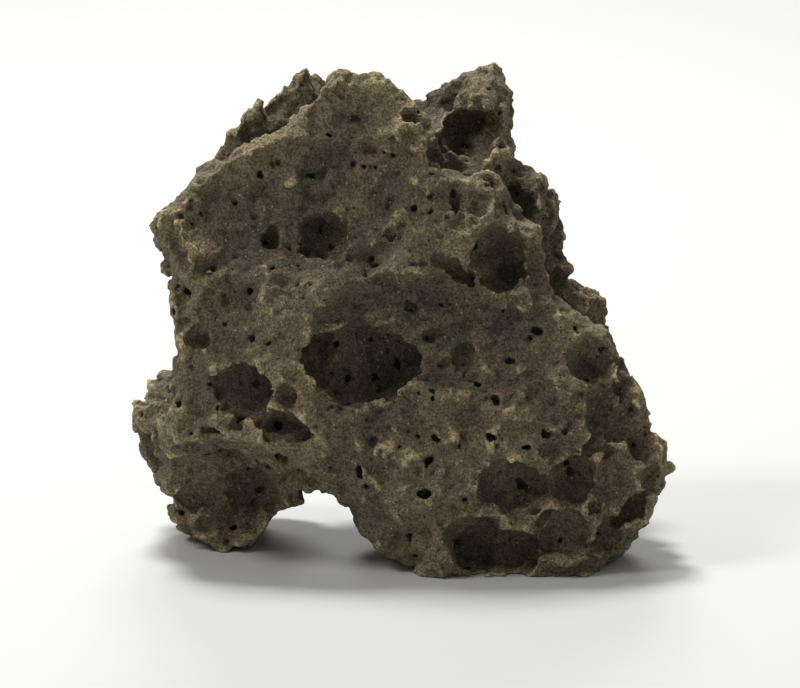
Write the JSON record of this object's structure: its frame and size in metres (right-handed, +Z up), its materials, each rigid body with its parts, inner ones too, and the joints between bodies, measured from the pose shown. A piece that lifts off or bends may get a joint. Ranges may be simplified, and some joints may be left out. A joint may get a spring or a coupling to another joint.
{
  "type": "lava rock",
  "caption": "Pitted lump of vesicular lava with a broad scarred face, jagged peaks, a honeycombed lower corner and an arch between its base and a side leg.",
  "frame": {"origin": "on the ground, under the middle of the stone's bounding box", "axes": "+X to the right along the broad scarred face, +Y from that face into the stone, +Z up"},
  "size_m": [0.046, 0.028, 0.0414],
  "materials": {
    "scoria": "matte, finely granular, pitted"
  },
  "bodies": {
    "root": {"lava_rock": "scoria"}
  },
  "joints": []
}
